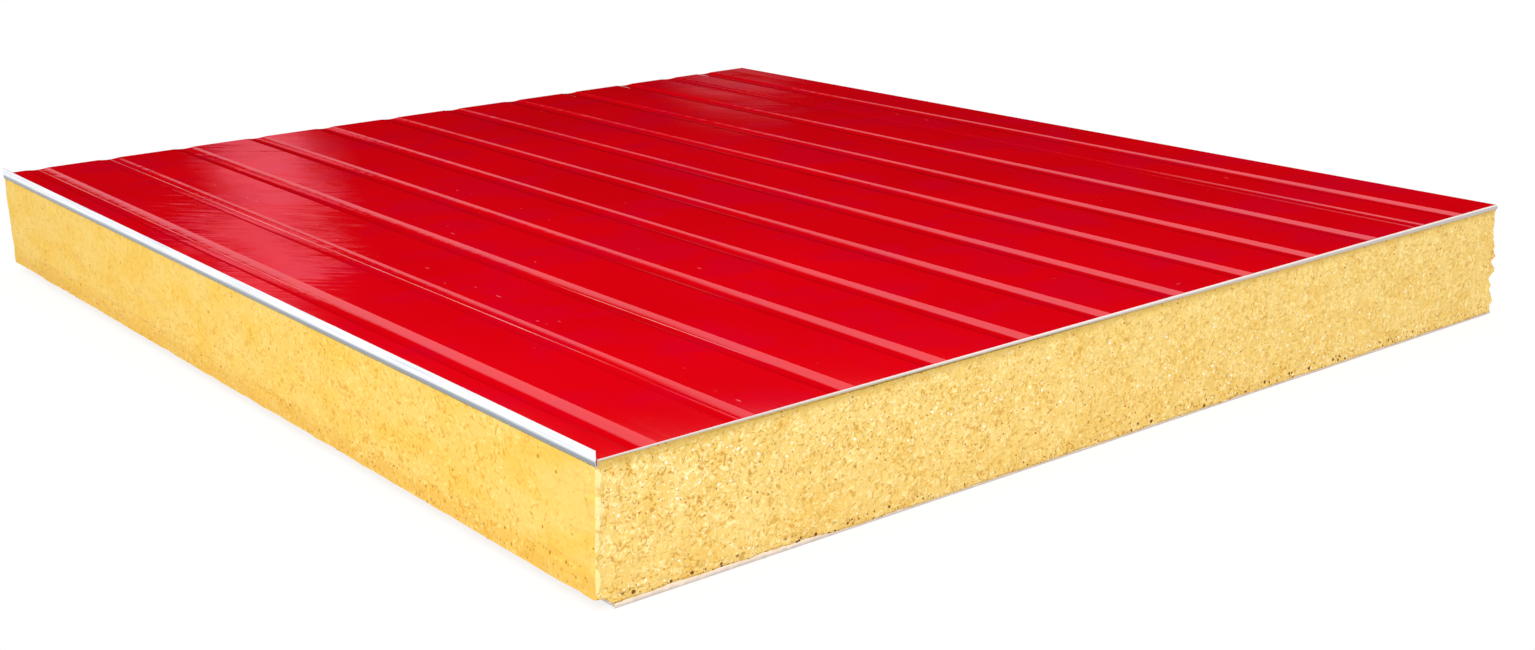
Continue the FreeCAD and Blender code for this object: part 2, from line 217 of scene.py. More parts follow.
def coil_coated_steel():
    """Gloss polyester coil coat: a hard, even film with a clear gloss, in which the rolling
    streaks and the soft dents of the thin steel under it break up what it mirrors."""
    material = new_material("coil_coated_steel")
    tree = material.node_tree
    in_mm, across, along, up = in_millimetres(tree, near_corner)

    # Rolling streaks, long along the sheet and narrow across it, soft dents and specks of dust.
    streak_place = add_node(
        tree, "Mapping", {"Scale": [1 / size for size in STREAK_SIZE]}, {"Vector": in_mm}
    )
    streaks = add_node(
        tree, "TexNoise", {"Scale": 1.0, "Detail": 3.0, "Roughness": 0.6}, {"Vector": streak_place}
    )
    dents = add_node(
        tree,
        "TexNoise",
        {"Scale": 1 / DENT_SIZE, "Detail": 1.0, "Roughness": 0.4},
        {"Vector": in_mm},
    )
    specks = add_node(
        tree, "TexVoronoi", {"Scale": 1 / SPECK_GAP, "Randomness": 1.0}, {"Vector": in_mm}
    )
    speck = add_node(
        tree,
        "MapRange",
        {"From Min": 0.028, "From Max": 0.018, "To Min": 0.0, "To Max": 1.0},
        {"Value": specks.outputs["Distance"]},
    )

    # Crown of each strip: a parabola that starts again at every groove.
    strip_part = add_node(
        tree,
        "Math",
        {"operation": "MULTIPLY_ADD", 1: 1 / STRIP_PITCH, 2: 1 - STRIP_START / STRIP_PITCH % 1},
        {0: across},
    )
    strip_share = add_node(tree, "Math", {"operation": "FRACT"}, {0: strip_part})
    strip_middle = add_node(tree, "Math", {"operation": "SUBTRACT", 1: 0.5}, {0: strip_share})
    crown_fall = add_node(
        tree, "Math", {"operation": "MULTIPLY"}, {0: strip_middle, 1: strip_middle}
    )

    # A painted highlight: the fine pale line beside the bottom of the grooves nearest the hem,
    # where the bend catches the light, in broken lengths.
    highlight_line_place = add_node(tree, "Mapping", {"Scale": HIGHLIGHT_LINE_SPREAD}, {"Vector": in_mm})
    line_noise = add_node(
        tree, "TexNoise", {"Scale": 1.0, "Detail": 3.0, "Roughness": 0.7}, {"Vector": highlight_line_place}
    )
    highlight_line_part = add_node(
        tree,
        "MapRange",
        {"From Min": 0.36, "From Max": 0.60, "To Min": 0.15, "To Max": 0.75},
        {"Value": line_noise.outputs[0]},
    )
    painted_highlight_line = None
    for groove, start, full, end in HIGHLIGHT_LINES:
        on_line = add_node(
            tree, "Math", {"operation": "COMPARE", 1: groove, 2: HIGHLIGHT_LINE_WIDTH / 2}, {0: across}
        )
        begun = add_node(tree, "MapRange", {"From Min": start, "From Max": full}, {"Value": along})
        lasting = add_node(
            tree, "MapRange", {"From Min": end, "From Max": end - HIGHLIGHT_LINE_FADE}, {"Value": along}
        )
        reach = add_node(tree, "Math", {"operation": "MULTIPLY"}, {0: begun, 1: lasting})
        line = add_node(tree, "Math", {"operation": "MULTIPLY"}, {0: on_line, 1: reach})
        if painted_highlight_line:
            line = add_node(tree, "Math", {"operation": "ADD"}, {0: line, 1: painted_highlight_line})
        painted_highlight_line = line
    painted_highlight_line = add_node(tree, "Math", {"operation": "MULTIPLY"}, {0: painted_highlight_line, 1: highlight_line_part})

    # Short scratches in the coat, and the dotted lines left by the edges of the shipping film.
    scratch_place = add_node(
        tree, "Mapping", {"Scale": (0.22, 1.0, 1.0), "Rotation": (0.0, 0.0, 0.5)}, {"Vector": in_mm}
    )
    scratches = spots(tree, scratch_place, SCRATCH_GAP, -3.4, 1.1, (5.0, 9.0, 2.0))
    seam_wander = add_node(
        tree,
        "Math",
        {"operation": "MULTIPLY_ADD", 1: SEAM_WANDER, 2: -SEAM_WANDER / 2},
        {0: line_noise.outputs[0]},
    )
    seam_place = add_node(tree, "Mapping", {"Scale": (1.0, 0.4, 1.0)}, {"Vector": in_mm})
    seam_dots = spots(tree, seam_place, SEAM_GAP, -0.9, 1.9, (15.0, 3.0, 12.0))
    wandered = add_node(tree, "Math", {"operation": "ADD"}, {0: across, 1: seam_wander})
    marks = scratches
    for seam_line in SEAM_LINES:
        on_seam = add_node(
            tree, "Math", {"operation": "COMPARE", 1: seam_line, 2: SEAM_HALF}, {0: wandered}
        )
        seam = add_node(tree, "Math", {"operation": "MULTIPLY"}, {0: on_seam, 1: seam_dots})
        marks = add_node(tree, "Math", {"operation": "MAXIMUM"}, {0: marks, 1: seam})
    mark_part = add_node(tree, "Math", {"operation": "MULTIPLY", 1: 0.6}, {0: marks})

    # What fills the grooves that the roller pressed less deep.
    filling = None
    for groove, less_depth in SHALLOW_GROOVES:
        off = add_node(tree, "Math", {"operation": "SUBTRACT", 1: groove}, {0: across})
        distance = add_node(tree, "Math", {"operation": "ABSOLUTE"}, {0: off})
        fill = add_node(
            tree,
            "MapRange",
            {"From Min": GROOVE_HALF, "From Max": 0.0, "To Max": less_depth},
            {"Value": distance},
        )
        if filling:
            fill = add_node(tree, "Math", {"operation": "ADD"}, {0: fill, 1: filling})
        filling = fill

    # One height in mm for the bump.
    crown = add_node(
        tree, "Math", {"operation": "MULTIPLY", 1: -4 * CROWN_HEIGHT}, {0: crown_fall}
    )
    height = crown
    for source, part in (
        (streaks.outputs[0], STREAK_HEIGHT),
        (dents.outputs[0], DENT_HEIGHT),
        (speck, SPECK_HEIGHT),
        (filling, 1.0),
    ):
        height = add_node(
            tree, "Math", {"operation": "MULTIPLY_ADD", 1: part}, {0: source, 2: height}
        )
    relief = add_node(tree, "Bump", {"Strength": 1.0, "Distance": 0.001}, {"Height": height})

    # Colour: red topcoat, white backing on the outside of the hem with a painted shade down its
    # fold, bare zinc on the front cut.
    topcoat = add_node(
        tree,
        "ValToRGB",
        {},
        {"Fac": dents.outputs[0]},
        [(0.3, linear(RED_DULLED)), (0.7, linear(RED_TOPCOAT))],
    )
    outside_hem = add_node(
        tree, "Math", {"operation": "LESS_THAN", 1: SHEET_GAUGE / 2}, {0: across}
    )
    under_hem = add_node(
        tree, "Math", {"operation": "LESS_THAN", 1: SHEET_GAUGE - HEM_FOLD}, {0: up}
    )
    beside_hem = add_node(
        tree, "Math", {"operation": "LESS_THAN", 1: HEM_WIDTH + 0.1}, {0: across}
    )
    fold_outside = add_node(
        tree, "Math", {"operation": "MULTIPLY"}, {0: under_hem, 1: beside_hem}
    )
    backing = add_node(tree, "Math", {"operation": "MAXIMUM"}, {0: outside_hem, 1: fold_outside})
    # Painted shade: the white backing coat turns grey down the hem's fold.
    backing_shade = add_node(
        tree,
        "MapRange",
        {"From Min": -2.4, "From Max": 0.4, "interpolation_type": "SMOOTHSTEP"},
        {"Value": up},
    )
    backing_place = add_node(
        tree, "Mapping", {"Scale": [1 / size for size in BACKING_STREAK_SIZE]}, {"Vector": in_mm}
    )
    backing_streaks = add_node(
        tree, "TexNoise", {"Scale": 1.0, "Detail": 2.0}, {"Vector": backing_place}
    )
    backing_coat = add_node(
        tree,
        "ValToRGB",
        {},
        {"Fac": backing_streaks.outputs[0]},
        [(0.32, linear(BACKING_STREAK)), (0.52, linear(BACKING_COAT))],
    )
    backing_colour = add_node(
        tree,
        "Mix",
        {"data_type": "RGBA", 6: linear(BACKING_FOLD_SHADE)},
        {0: backing_shade, 7: backing_coat},
    )
    front_cut = add_node(tree, "Math", {"operation": "LESS_THAN", 1: SHEET_GAUGE / 2}, {0: along})
    tint_places = add_node(
        tree,
        "TexNoise",
        {"Scale": 1 / TINT_SIZE, "Detail": 3.0, "Roughness": 0.6},
        {"Vector": in_mm},
    )
    tint = add_node(
        tree,
        "MapRange",
        {"From Min": 0.46, "From Max": 0.62, "To Max": 0.85, "interpolation_type": "SMOOTHSTEP"},
        {"Value": tint_places.outputs[0]},
    )
    # Over the red: crimson places, scratches and film dots, and the painted highlight line.
    coat_marks_and_highlight = layered(
        tree, topcoat, ((tint, RED_CRIMSON), (mark_part, SCRATCH_PINK), (painted_highlight_line, HIGHLIGHT_LINE_PINK))
    )
    coated = add_node(
        tree,
        "Mix",
        {"data_type": "RGBA"},
        {0: backing, 6: coat_marks_and_highlight, 7: backing_colour.outputs[2]},
    )
    # The shear's cut is pale at its top edge and grey below, a painted shade, and greyer and
    # grimier toward the near corner.
    cut_greying = add_node(
        tree, "MapRange", {"From Min": 420.0, "From Max": 60.0, "To Max": 0.95}, {"Value": across}
    )
    cut_level = add_node(tree, "Math", {"operation": "SUBTRACT"}, {0: up, 1: cut_greying})
    cut_shade = add_node(
        tree, "MapRange", {"From Min": -1.9, "From Max": -0.7}, {"Value": cut_level}
    )
    cut_colour = add_node(
        tree,
        "ValToRGB",
        {},
        {"Fac": cut_shade},
        [(0.0, linear(ZINC_CUT_SHADE)), (1.0, linear(ZINC_CUT))],
    )
    grime = spots(tree, in_mm, GRIME_GAP, -2.2, 1.6, (4.0, 8.0, 19.0))
    grime_side = add_node(
        tree, "MapRange", {"From Min": 420.0, "From Max": 120.0, "To Max": 0.8}, {"Value": across}
    )
    grime_part = add_node(tree, "Math", {"operation": "MULTIPLY"}, {0: grime, 1: grime_side})
    grimy_cut = layered(tree, cut_colour, ((grime_part, CUT_GRIME),))
    colour = add_node(
        tree,
        "Mix",
        {"data_type": "RGBA"},
        {0: front_cut, 6: coated.outputs[2], 7: grimy_cut},
    )
    gloss = add_node(
        tree, "MapRange", {"To Min": 0.03, "To Max": 0.07}, {"Value": streaks.outputs[0]}
    )

    # Fine ripples of the coat, drawn out at a slant, comb the edges of what it mirrors. They
    # begin some way behind the front end.
    ripple_along = add_node(
        tree, "VectorMath", {"operation": "DOT_PRODUCT", 1: RIPPLE_RUN}, {0: in_mm}
    )
    ripple_across = add_node(
        tree,
        "VectorMath",
        {"operation": "DOT_PRODUCT", 1: (-RIPPLE_RUN[1], RIPPLE_RUN[0], 0.0)},
        {0: in_mm},
    )
    ripple_flat = add_node(
        tree,
        "CombineXYZ",
        {},
        {0: ripple_along.outputs["Value"], 1: ripple_across.outputs["Value"]},
    )
    ripple_place = add_node(
        tree,
        "Mapping",
        {"Scale": (1 / RIPPLE_LENGTH, 1 / RIPPLE_WIDTH, 1.0)},
        {"Vector": ripple_flat},
    )
    ripples = add_node(
        tree, "TexNoise", {"Scale": 1.0, "Detail": 3.0, "Roughness": 0.7}, {"Vector": ripple_place}
    )
    ripple_turn = add_node(
        tree,
        "Math",
        {"operation": "MULTIPLY_ADD", 1: RIPPLE_TURN, 2: -RIPPLE_TURN / 2},
        {0: ripples.outputs[0]},
    )
    ripple_reach = add_node(
        tree, "MapRange", {"From Min": 250.0, "From Max": 500.0}, {"Value": along}
    )
    reached_turn = add_node(
        tree, "Math", {"operation": "MULTIPLY"}, {0: ripple_turn, 1: ripple_reach}
    )
    sideways = add_node(
        tree, "VectorMath", {"operation": "SCALE", 0: RIPPLE_RUN}, {"Scale": reached_turn}
    )
    turned = add_node(tree, "VectorMath", {"operation": "ADD"}, {0: relief, 1: sideways})
    rippled = add_node(tree, "VectorMath", {"operation": "NORMALIZE"}, {0: turned})
    shader = add_node(
        tree,
        "BsdfPrincipled",
        {"IOR": 1.5},
        {"Base Color": colour.outputs[2], "Roughness": gloss, "Normal": rippled},
    )
    add_node(tree, "OutputMaterial", {}, {"Surface": shader})
    return material


nodes["outer_facing"].material_slots[0].material = coil_coated_steel()


# ---------------------------------------------------------------------------------------------
# Inner facing. A thinner sheet of galvanised steel under the core, coil coated satin white, its
# left long edge turned up into the foam's rebate. The film on its front end is torn and curls up.
# ---------------------------------------------------------------------------------------------
LINER_WHITE = "D9D8D8"
LINER_SHADE = "CFCDCD"
LINER_STREAK = (0.006, 0.3, 0.3)  # m across and along a rolling streak


def satin_liner_coat():
    """Satin white polyester on the liner sheet: even, with a soft low gloss."""
    material = new_material("satin_liner_coat")
    tree = material.node_tree
    place = add_node(tree, "TexCoord").outputs["Object"]
    streak_place = add_node(
        tree, "Mapping", {"Scale": [1 / size for size in LINER_STREAK]}, {"Vector": place}
    )
    streaks = add_node(tree, "TexNoise", {"Scale": 1.0, "Detail": 3.0}, {"Vector": streak_place})
    tone = add_node(
        tree,
        "ValToRGB",
        {},
        {"Fac": streaks.outputs[0]},
        [(0.3, linear(LINER_SHADE)), (0.7, linear(LINER_WHITE))],
    )
    relief = add_node(
        tree, "Bump", {"Strength": 1.0, "Distance": 0.00001}, {"Height": streaks.outputs[0]}
    )
    shader = add_node(
        tree,
        "BsdfPrincipled",
        {"IOR": 1.5, "Roughness": 0.35},
        {"Base Color": tone, "Normal": relief},
    )
    add_node(tree, "OutputMaterial", {}, {"Surface": shader})
    return material


nodes["inner_facing"].material_slots[0].material = satin_liner_coat()

# The torn film and burr along the saw cut: a thin crumpled strip, tall beside the hem's corner and
# low along the rest.
BURR_HEIGHT = 0.0046  # m at its tallest
BURR_LOW = 0.0013  # m along the rest
BURR_TALL_END = 0.19  # m from the core's left side
BURR_PIECES = 560  # along the strip
BURR_THICKNESS = 0.00022  # m
# The first colour is a painted shade at the strip's foot, the second its pale torn edge.
BURR_FOOT_SHADE = "BFB2AE"
BURR_EDGE = "F1E2CF"
BURR_STAIN = 5.0  # mm across a stain
SAW_LEAN = (0.0080, 0.0005)  # m back from the front at the left and at the right end

core_low, core_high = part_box("foam_core")
burr_start = Vector((core_low.x + 0.013, core_low.y + SAW_LEAN[0] - 0.0009, 0.0002))
burr_end = Vector((core_high.x - 0.002, core_low.y + SAW_LEAN[1] - 0.0006, 0.0002))
burr_run = burr_end - burr_start
bpy.ops.object.select_all(action="DESELECT")
bpy.ops.mesh.primitive_grid_add(x_subdivisions=BURR_PIECES, y_subdivisions=6, size=1.0)
burr = bpy.context.object
burr.name = "liner_edge_burr"
bpy.ops.object.mode_set(mode="EDIT")
bpy.ops.mesh.select_all(action="SELECT")
bpy.ops.transform.resize(value=(burr_run.length, BURR_HEIGHT, 1.0))
bpy.ops.transform.rotate(
    value=math.radians(90), orient_axis="X", orient_type="GLOBAL", center_override=(0, 0, 0)
)
bpy.ops.transform.rotate(
    value=-math.atan2(burr_run.y, burr_run.x),
    orient_axis="Z",
    orient_type="GLOBAL",
    center_override=(0, 0, 0),
)
bpy.ops.transform.translate(value=(burr_start + burr_end) / 2 + Vector((0, 0, BURR_HEIGHT / 2)))
bpy.ops.object.mode_set(mode="OBJECT")


def noise_texture(name, kind, size, **settings):
    """A procedural texture for a displacement, its features a size in metres."""
    texture = bpy.data.textures.new(name, kind)
    texture.noise_scale = size
    for setting, value in settings.items():
        setattr(texture, setting, value)
    return texture


def displace(piece, name, rule, strength, texture=None, direction="NORMAL", middle=0.5):
    """Moves a piece's surface by a texture, weighted by a rule, and applies it."""
    group = piece.vertex_groups.new(name=name)
    for vertex in piece.data.vertices:
        weight = rule(vertex.co)
        if weight > 0.002:
            group.add([vertex.index], weight, "REPLACE")
    modifier = piece.modifiers.new(name, "DISPLACE")
    modifier.vertex_group = group.name
    modifier.strength = strength
    modifier.mid_level = middle
    modifier.direction = direction
    if texture:
        modifier.texture = texture
        modifier.texture_coords = "LOCAL"
    bpy.ops.object.modifier_apply(modifier=name)
    piece.vertex_groups.remove(piece.vertex_groups[name])


def burr_rise(place):
    """How far up the strip a place is, from 0 at its foot to 1 at its torn edge."""
    return min(1.0, max(0.0, (place.z - burr_start.z) / BURR_HEIGHT))


def burr_cut(place):
    """Weight that lowers the strip past its tall end."""
    run = place.x - core_low.x
    fall = min(1.0, max(0.0, (run - BURR_TALL_END + 0.05) / 0.07))
    wave = 0.12 * math.sin(run * 71) + 0.08 * math.sin(run * 173 + 1)
    return burr_rise(place) * min(1.0, max(0.0, 0.22 + wave + 0.78 * fall))


displace(burr, "burr_cut", burr_cut, BURR_LOW - BURR_HEIGHT, direction="Z", middle=0.0)
displace(
    burr,
    "burr_tear",
    burr_rise,
    0.0022,
    noise_texture("burr_tear", "CLOUDS", 0.0035, noise_depth=2),
    direction="Z",
    middle=0.6,
)
displace(
    burr,
    "burr_curl",
    burr_rise,
    0.0016,
    noise_texture("burr_curl", "CLOUDS", 0.009, noise_depth=1),
    direction="Y",
    middle=0.7,
)
burr_shell = burr.modifiers.new("shell", "SOLIDIFY")
burr_shell.thickness = BURR_THICKNESS
burr_shell.offset = 0.0
bpy.ops.object.modifier_apply(modifier="shell")
bpy.ops.object.shade_smooth_by_angle(angle=math.radians(50))


def torn_liner_film():
    """Torn film and bent coat on the liner's cut edge: pale and warm toward its torn edge, with a
    painted shade that makes it greyer toward its foot."""
    material = new_material("torn_liner_film")
    tree = material.node_tree
    in_mm, _, _, up = in_millimetres(tree, (0.0, 0.0, 0.0))
    stains = add_node(
        tree, "TexNoise", {"Scale": 1 / BURR_STAIN, "Detail": 3.0}, {"Vector": in_mm}
    )
    stained_height = add_node(
        tree, "Math", {"operation": "MULTIPLY_ADD", 1: 3.0}, {0: stains.outputs[0], 2: up}
    )
    # Painted shade: the strip is greyer toward its foot.
    rise = add_node(tree, "MapRange", {"From Min": 1.6, "From Max": 4.4}, {"Value": stained_height})
    tone = add_node(
        tree,
        "ValToRGB",
        {},
        {"Fac": rise},
        [(0.0, linear(BURR_FOOT_SHADE)), (1.0, linear(BURR_EDGE))],
    )
    relief = add_node(
        tree, "Bump", {"Strength": 1.0, "Distance": 0.0003}, {"Height": stains.outputs[0]}
    )
    shader = add_node(
        tree,
        "BsdfPrincipled",
        {"IOR": 1.45, "Roughness": 0.5},
        {"Base Color": tone, "Normal": relief},
    )
    add_node(tree, "OutputMaterial", {}, {"Surface": shader})
    return material


burr.data.materials.append(torn_liner_film())
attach(burr, "root")


# ---------------------------------------------------------------------------------------------
# Foam core. Rigid polyurethane foam that rose between the two facings and bonded to them. Its
# long left side has the closed skin of the mould, and the ends and the right side are sawn, so
# that the saw has torn open the cells.
# ---------------------------------------------------------------------------------------------
ROW_HEIGHT = 0.0018  # m between the levels of the mesh on the walls
WALL_STEPS = {"front": 23, "left": 21, "right": 17, "back": 16}  # pieces in each round of cuts
TOP_MARGIN = 0.0024  # m under the core's top that the outer facing covers

foam = bpy.data.objects.new("foam_block", nodes["foam_core"].data.copy())
bpy.context.collection.objects.link(foam)
bpy.ops.object.select_all(action="DESELECT")
bpy.context.view_layer.objects.active = foam
foam.select_set(True)
bpy.ops.mesh.customdata_custom_splitnormals_clear()
bpy.ops.object.mode_set(mode="EDIT")
bpy.ops.mesh.select_all(action="SELECT")
bpy.ops.mesh.remove_doubles(threshold=0.00002)
bpy.ops.mesh.dissolve_limited(angle_limit=math.radians(0.4))


def select_walls(cage, outward):
    """Selects the faces of an edit mesh that look a given way."""
    for face in cage.faces:
        face.select_set(face.normal.dot(outward) > 0.95)
    bmesh.update_edit_mesh(foam.data)


# Each wall becomes one face, which the levels then cut into strips.
bpy.ops.mesh.select_mode(type="FACE")
for outward in (Vector((0, -1, 0)), Vector((0, 1, 0)), Vector((-1, 0, 0)), Vector((1, 0, 0))):
    bpy.ops.mesh.select_all(action="DESELECT")
    select_walls(bmesh.from_edit_mesh(foam.data), outward)
    bpy.ops.mesh.dissolve_faces()

level = core_low.z + ROW_HEIGHT
while level < core_high.z - TOP_MARGIN:
    bpy.ops.mesh.select_all(action="SELECT")
    bpy.ops.mesh.bisect(plane_co=(0, 0, level), plane_no=(0, 0, 1))
    level += ROW_HEIGHT


def is_on_wall(edge, wall, shortest):
    """Whether an edge lies level along one of the four walls, under the covered margin."""
    start, end = (vertex.co for vertex in edge.verts)
    if abs(start.z - end.z) > 0.0001 or start.z > core_high.z - TOP_MARGIN + 0.0005:
        return False
    axis = 1 if wall in ("front", "back") else 0
    side = (core_low if wall in ("front", "left") else core_high)[axis]
    near_side = max(abs(start[axis] - side), abs(end[axis] - side)) < 0.02
    return near_side and abs(start[1 - axis] - end[1 - axis]) > shortest


# Two rounds of cuts, each edge into so many pieces: first the whole levels, then their pieces.
bpy.ops.mesh.select_mode(type="EDGE")
for wall, steps in WALL_STEPS.items():
    for shortest in (0.5, 0.03):
        bpy.ops.mesh.select_all(action="DESELECT")
        cage = bmesh.from_edit_mesh(foam.data)
        for edge in cage.edges:
            if is_on_wall(edge, wall, shortest):
                edge.select_set(True)
        bmesh.update_edit_mesh(foam.data)
        bpy.ops.mesh.subdivide(number_cuts=steps - 1, quadcorner="STRAIGHT_CUT")

# The moulded side and its rebate take the second material slot, the sawn rest the first.
foam.data.materials.clear()
foam.data.materials.append(None)
foam.data.materials.append(None)
bpy.ops.mesh.select_mode(type="FACE")
bpy.ops.mesh.select_all(action="DESELECT")
cage = bmesh.from_edit_mesh(foam.data)
for face in cage.faces:
    side_on = face.normal.x < -0.2 or face.normal.z < -0.9
    face.select_set(side_on and face.calc_center_median().x < core_low.x + 0.016)
bmesh.update_edit_mesh(foam.data)
foam.active_material_index = 1
bpy.ops.object.material_slot_assign()
bpy.ops.object.mode_set(mode="OBJECT")

# Relief of the walls: each layer is a displacement that acts where its weights say.
COVER = 0.0045  # m under the core's top where the relief dies out behind the sheet's edge
RIDGE_WIDTH = 0.0065  # m that the crumbly corner reaches along the sawn end
RAGGED_REACH = 0.016  # m from the far corner where the saw tore the foam
MOULD_LINES = ((0.0770, 1.0), (0.0555, 0.45))  # m under the sheet's top, and share of depth
SKIN_REACH = 0.0155  # m from the core's left side to the far side of its rebate
SKIN_END = 0.0095  # m from the sawn end to the first of the closed skin


def cover_share(place):
    """1 on the open wall, falling to 0 where a facing covers or holds the foam."""
    from_top = (core_high.z - 0.002 - place.z) / COVER
    from_foot = (place.z - core_low.z) / 0.009
    return min(1.0, max(0.0, from_top), max(0.0, from_foot))


def is_left_wall(place):
    """Whether a place is on the moulded skin of the left side or its rebate."""
    return place.x < core_low.x + SKIN_REACH and place.y > core_low.y + SKIN_END


def sawn_share(place):
    """Weight of the relief that the saw left on the ends and the right side."""
    return 0.0 if is_left_wall(place) else cover_share(place)


def skin_share(place):
    """Weight of the soft waves in the moulded skin of the left side."""
    return cover_share(place) if is_left_wall(place) else 0.0


def ridge_share(place):
    """Weight of the crumbly ridge up the near corner, at the left end of the front wall."""
    if place.y > core_low.y + 0.012:
        return 0.0
    inward = (place.x - core_low.x) / RIDGE_WIDTH
    height = min(1.0, max(0.0, (place.z - 0.020) / 0.006))
    return max(0.0, 1.0 - inward) * height * cover_share(place)


def ragged_share(place):
    """Weight of the torn foam up the far front corner."""
    from_side = max(0.0, core_high.x - 0.004 - place.x) / RAGGED_REACH
    from_front = max(0.0, place.y - core_low.y - 0.004) / RAGGED_REACH
    return max(0.0, 1.0 - from_side) * max(0.0, 1.0 - from_front) * cover_share(place)


def notch_share(place):
    """Weight of the foam broken out of the far front corner, just under the rolled edge."""
    off_level = (core_high.z - 0.0105 - place.z) / 0.0042
    from_side = max(0.0, core_high.x - 0.008 - place.x) / 0.009
    from_front = max(0.0, place.y - core_low.y) / 0.022
    return math.exp(-off_level * off_level) * max(0.0, 1.0 - from_side) * max(0.0, 1.0 - from_front)


def mould_line_share(place):
    """Weight of the two level marks that the side mould's joints left in the skin."""
    if place.x > core_low.x + 0.003 or not is_left_wall(place):
        return 0.0
    wander = 0.0012 * math.sin(place.y * 23) + 0.0007 * math.sin(place.y * 61 + 1.3)
    broken = 0.65 + 0.35 * math.sin(place.y * 41 + math.sin(place.y * 17) * 3)
    share = 0.0
    for depth, strength in MOULD_LINES:
        off = (sheet_top - depth + wander - place.z) / 0.0018
        share += strength * broken * math.exp(-off * off)
    return min(1.0, share)


displace(foam, "mould_lines", mould_line_share, -0.0011, middle=0.0)
displace(
    foam,
    "skin_waves",
    skin_share,
    0.0016,
    noise_texture("skin_waves", "CLOUDS", 0.028, noise_depth=2),
)
displace(
    foam,
    "ragged_corner",
    ragged_share,
    0.014,
    noise_texture("ragged_corner", "CLOUDS", 0.009, noise_depth=1),
    direction="X",
)
displace(foam, "notch", notch_share, -0.0045, direction="X", middle=0.0)
displace(
    foam,
    "ridge",
    ridge_share,
    0.0034,
    noise_texture("ridge", "CLOUDS", 0.008, noise_depth=2),
    middle=0.1,
)
displace(
    foam,
    "saw_waves",
    sawn_share,
    0.0022,
    noise_texture("saw_waves", "CLOUDS", 0.016, noise_depth=1),
)
displace(
    foam,
    "saw_crumb",
    sawn_share,
    0.0020,
    noise_texture("saw_crumb", "CLOUDS", 0.0055, noise_depth=1, noise_type="HARD_NOISE"),
)
bpy.ops.object.shade_smooth_by_angle(angle=math.radians(60))

SAWN_PALE = "F0D07C"
SAWN_DEEP = "EBC56A"
# The amber is a painted shade in the crumbs' hollows and tears, the cream a painted highlight on
# their crests.
SAWN_HOLLOW_SHADE = "C78C28"
SAWN_CREST_HIGHLIGHT = "FFEDB0"
RIDGE_CREAM = "FFEBA6"
SAWN_SHADE = "C9A650"
SAWN_PIT = "B57C30"
SAWN_SCORCH = "7A4C24"
SAWN_SPARK = "FFFDEB"
SAWN_PATCH = 34.0  # mm across a deeper yellow patch
SAWN_CELL = 4.5  # mm across a torn cell
SAWN_PIT_GAP = 4.3  # mm between open pits
SAWN_TEAR_GAP = 12.0  # mm between the larger tears
SAWN_SPARK_GAP = 5.0  # mm between cell walls that catch the light
SCORCH_GAP = 4.4  # mm between the dark pits along the two facings
SCORCH_FOOT = (9.0, 6.5)  # mm over the core's foot where these begin and are full
RIDGE_WAVE = 11.0  # mm between waves of the paler crumbs up the near corner
RIDGE_WANDER = 26.0  # mm that their edge wanders
RIDGE_EDGE = (15.9, 14.5)  # mm from the corner, with the wander, where they begin and are full
SHADE_BAND = 7.0  # mm under the sheet where the foam is greyer
CORE_CORNER = Vector((core_low.x, core_low.y, core_high.z))
CORE_DEPTH = (core_high.z - core_low.z) * 1000  # mm


